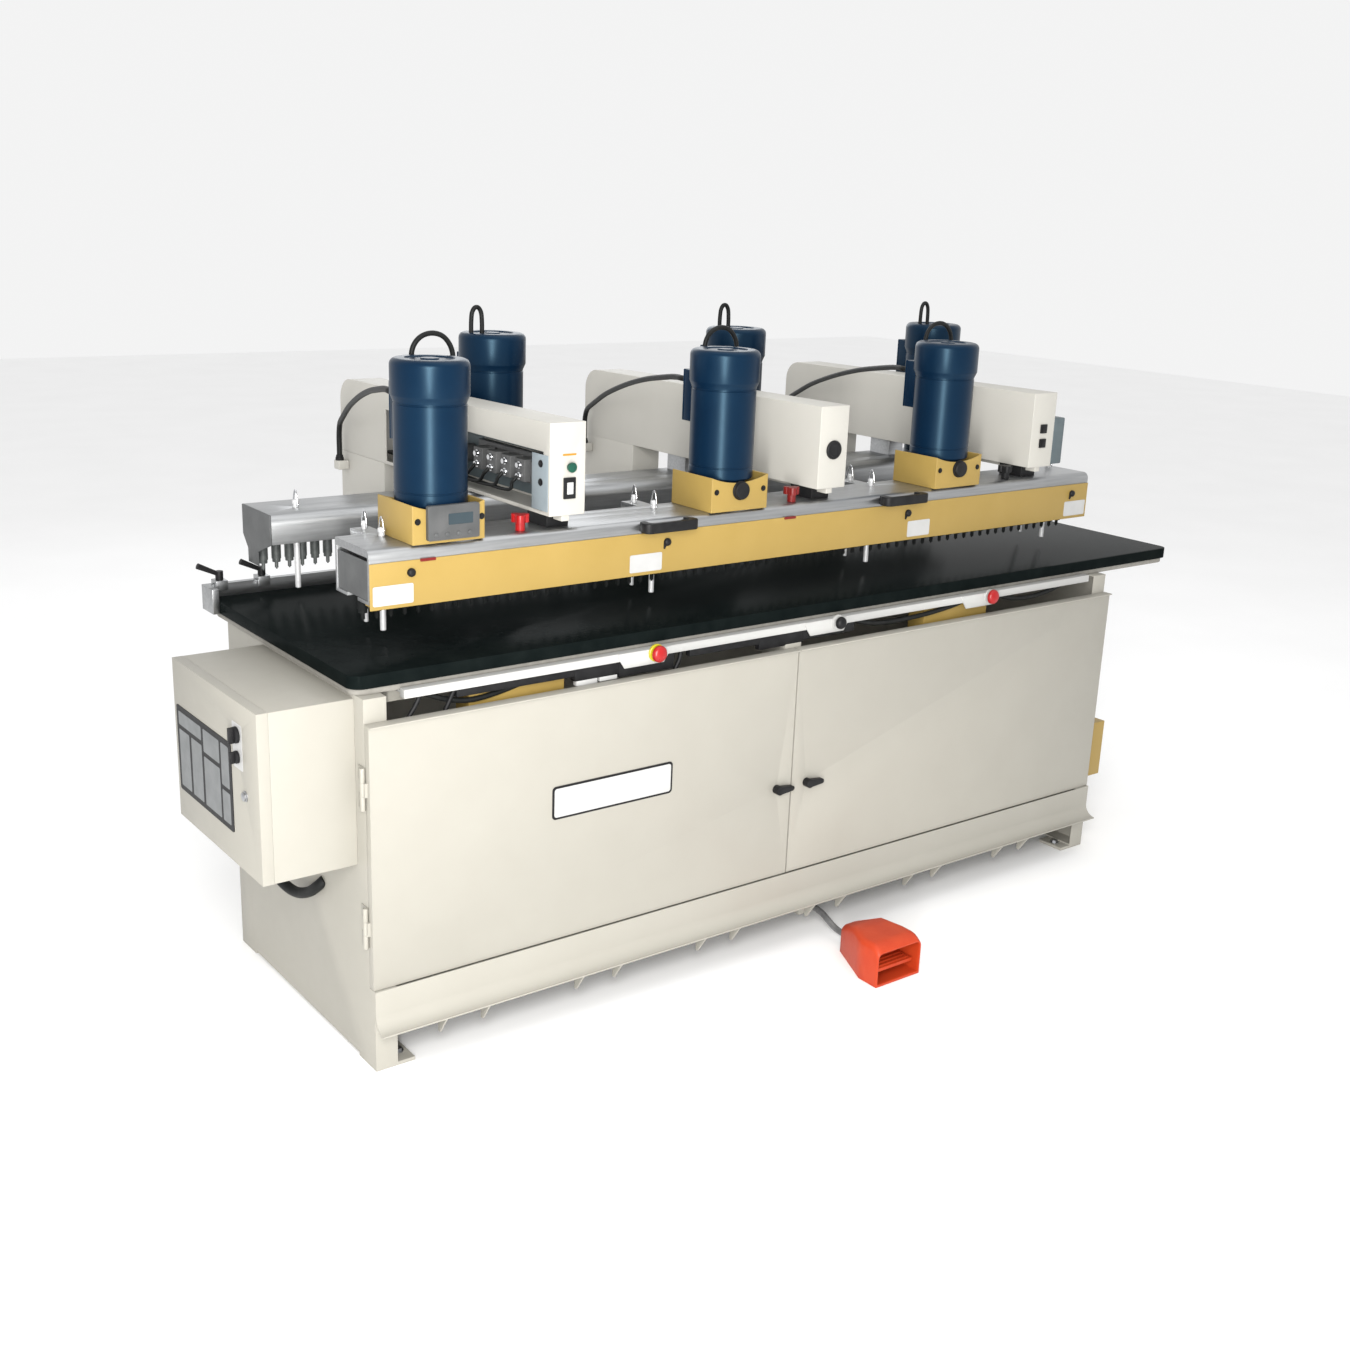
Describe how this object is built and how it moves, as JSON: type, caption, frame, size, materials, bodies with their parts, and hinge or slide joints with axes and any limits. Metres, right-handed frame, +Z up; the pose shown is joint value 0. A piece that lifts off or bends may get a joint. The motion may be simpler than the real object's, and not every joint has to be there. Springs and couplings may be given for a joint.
{
  "type": "line boring machine",
  "caption": "Floor-standing line boring machine: a cabinet with a table, long spindle rows under gantry arms, upright motors, hold-down rods, fence and foot pedal.",
  "frame": {"origin": "centre of the four floor anchor holes, on the floor", "axes": "+X to the operator's right along the spindle rows, +Y to the back, +Z up"},
  "size_m": [2.7925, 1.539, 1.5059],
  "materials": {
    "cream": "satin",
    "yellow": "satin",
    "table_black": "gloss",
    "core_grey": "matte",
    "alloy": "satin",
    "navy": "satin",
    "chrome": "polished",
    "steel": "satin",
    "dark_steel": "satin",
    "end_grey": "satin",
    "white_rail": "satin",
    "black_plastic": "matte",
    "red": "gloss",
    "green": "gloss",
    "pedal_orange": "satin",
    "gear_grey": "matte",
    "conduit_grey": "matte",
    "cable_black": "matte"
  },
  "bodies": {
    "base": {"left_end_panel": "cream", "right_end_panel": "cream", "rear_panel": "cream", "front_frame": "cream", "front_sill": "cream", "door_hinges": "steel", "table_core": "core_grey", "table_top": "table_black", "fence_rail": "alloy", "control_rail": "white_rail", "cylinder_covers": "yellow", "enclosure": "cream", "control_gear": "gear_grey", "side_box": "yellow", "pedal_guard": "pedal_orange", "pedal_conduit": "conduit_grey", "column_base": "cream", "lift_cylinders": "steel"},
    "carriage": {"columns": "cream", "left_arm": "cream", "plain_arms": "cream", "valve_bank": "gear_grey", "arm_fittings": "black_plastic", "rear_beam": "alloy", "rear_end_plates": "end_grey", "rear_spindles": "dark_steel", "rear_motors": "navy", "motor_cables": "cable_black"},
    "front_head": {"front_beam": "alloy", "front_cover": "yellow", "front_spindles": "dark_steel", "front_motors": "navy", "front_motor_boxes": "yellow", "bow_handles": "black_plastic", "readout": "gear_grey", "slide_blocks": "black_plastic"},
    "left_door": {"left_door": "cream"},
    "right_door": {"right_door": "cream"},
    "left_handle": {"left_handle": "black_plastic"},
    "right_handle": {"right_handle": "black_plastic"},
    "fence_stop_left": {"fence_stop_left": "alloy"},
    "fence_stop_right": {"fence_stop_right": "alloy"},
    "stop_lever_left": {"stop_lever_left": "black_plastic"},
    "stop_lever_right": {"stop_lever_right": "black_plastic"},
    "estop_left": {"estop_left": "red"},
    "estop_right": {"estop_right": "red"},
    "start_button": {"start_button": "black_plastic"},
    "enclosure_door": {"enclosure_door": "cream"},
    "main_switch": {"main_switch": "black_plastic"},
    "selector_switch": {"selector_switch": "black_plastic"},
    "pedal_treadle": {"pedal_treadle": "pedal_orange"},
    "arm_button": {"arm_button": "green"},
    "rear_lead_spindle": {"rear_lead_spindle": "dark_steel"},
    "rear_hold_downs": {"rear_hold_downs": "chrome"},
    "front_lead_spindle": {"front_lead_spindle": "dark_steel"},
    "front_hold_downs": {"front_hold_downs": "chrome"},
    "lock_knob_left": {"lock_knob_left": "red"},
    "lock_knob_centre": {"lock_knob_centre": "red"},
    "lock_knob_right": {"lock_knob_right": "red"}
  },
  "joints": [
    {"name": "feed", "type": "slide", "parent": "base", "child": "carriage", "axis": [0, 0, -1], "range_m": [0, 0.054]},
    {"name": "row_slide", "type": "slide", "parent": "carriage", "child": "front_head", "axis": [0, 1, 0], "range_m": [0, 0.2], "deforming": ["motor_cables"]},
    {"name": "front_hold_down_lift", "type": "slide", "parent": "front_head", "child": "front_hold_downs", "axis": [0, 0, 1], "range_m": [0, 0.036]},
    {"name": "rear_hold_down_lift", "type": "slide", "parent": "carriage", "child": "rear_hold_downs", "axis": [0, 0, 1], "range_m": [0, 0.036]},
    {"name": "front_spindle_spin", "type": "hinge", "parent": "front_head", "child": "front_lead_spindle", "pos_m": [-1.035, -0.136, 0.95], "axis": [0, 0, 1], "continuous": true},
    {"name": "rear_spindle_spin", "type": "hinge", "parent": "carriage", "child": "rear_lead_spindle", "pos_m": [-1.035, 0.378, 0.95], "axis": [0, 0, 1], "continuous": true},
    {"name": "left_door_hinge", "type": "hinge", "parent": "base", "child": "left_door", "pos_m": [-1.1398, -0.33475, 0.47], "axis": [0, 0, -1], "range_deg": [0, 110]},
    {"name": "right_door_hinge", "type": "hinge", "parent": "base", "child": "right_door", "pos_m": [1.1398, -0.33475, 0.47], "axis": [0, 0, 1], "range_deg": [0, 110]},
    {"name": "left_handle_turn", "type": "hinge", "parent": "left_door", "child": "left_handle", "pos_m": [-0.068, -0.362, 0.415], "axis": [0, 1, 0], "range_deg": [0, 90]},
    {"name": "right_handle_turn", "type": "hinge", "parent": "right_door", "child": "right_handle", "pos_m": [0.028, -0.362, 0.415], "axis": [0, 1, 0], "range_deg": [0, 90]},
    {"name": "enclosure_hinge", "type": "hinge", "parent": "base", "child": "enclosure_door", "pos_m": [-1.312, 0.162, 0.62], "axis": [0, 0, -1], "range_deg": [0, 120]},
    {"name": "main_switch_turn", "type": "hinge", "parent": "enclosure_door", "child": "main_switch", "pos_m": [-1.34, -0.1935, 0.731], "axis": [1, 0, 0], "range_deg": [0, 90]},
    {"name": "selector_turn", "type": "hinge", "parent": "enclosure_door", "child": "selector_switch", "pos_m": [-1.34, -0.1935, 0.685], "axis": [1, 0, 0], "range_deg": [-45, 45]},
    {"name": "estop_left_press", "type": "slide", "parent": "base", "child": "estop_left", "axis": [0, 1, 0], "range_m": [0, 0.005]},
    {"name": "estop_right_press", "type": "slide", "parent": "base", "child": "estop_right", "axis": [0, 1, 0], "range_m": [0, 0.005]},
    {"name": "start_press", "type": "slide", "parent": "base", "child": "start_button", "axis": [0, 1, 0], "range_m": [0, 0.005], "stiffness_N_per_m": 300},
    {"name": "arm_button_press", "type": "slide", "parent": "carriage", "child": "arm_button", "axis": [0, 1, 0], "range_m": [0, 0.005], "stiffness_N_per_m": 300},
    {"name": "treadle_press", "type": "hinge", "parent": "base", "child": "pedal_treadle", "pos_m": [0.0945, -0.514, 0.034], "axis": [1, 0, 0], "range_deg": [0, 8], "stiffness_Nm_per_rad": 20, "springref_deg": -8.59},
    {"name": "left_stop_slide", "type": "slide", "parent": "base", "child": "fence_stop_left", "axis": [1, 0, 0], "range_m": [0, 0.02]},
    {"name": "right_stop_slide", "type": "slide", "parent": "base", "child": "fence_stop_right", "axis": [1, 0, 0], "range_m": [0, 0.6]},
    {"name": "left_lever_turn", "type": "hinge", "parent": "fence_stop_left", "child": "stop_lever_left", "pos_m": [-1.124, 0.423, 0.9], "axis": [0, 0, -1], "range_deg": [0, 90]},
    {"name": "right_lever_turn", "type": "hinge", "parent": "fence_stop_right", "child": "stop_lever_right", "pos_m": [-1.022, 0.423, 0.9], "axis": [0, 0, -1], "range_deg": [0, 90]},
    {"name": "lock_left_turn", "type": "hinge", "parent": "front_head", "child": "lock_knob_left", "pos_m": [-0.6855, -0.18, 1.09], "axis": [0, 0, 1], "range_deg": [0, 90]},
    {"name": "lock_centre_turn", "type": "hinge", "parent": "front_head", "child": "lock_knob_centre", "pos_m": [0.0825, -0.18, 1.09], "axis": [0, 0, 1], "range_deg": [0, 90]},
    {"name": "lock_right_turn", "type": "hinge", "parent": "front_head", "child": "lock_knob_right", "pos_m": [0.8505, -0.18, 1.09], "axis": [0, 0, 1], "range_deg": [0, 90]}
  ],
  "couplings": [
    {"joint": "front_hold_down_lift", "follows": "feed", "ratio": 0.64},
    {"joint": "rear_hold_down_lift", "follows": "feed", "ratio": 0.64}
  ]
}
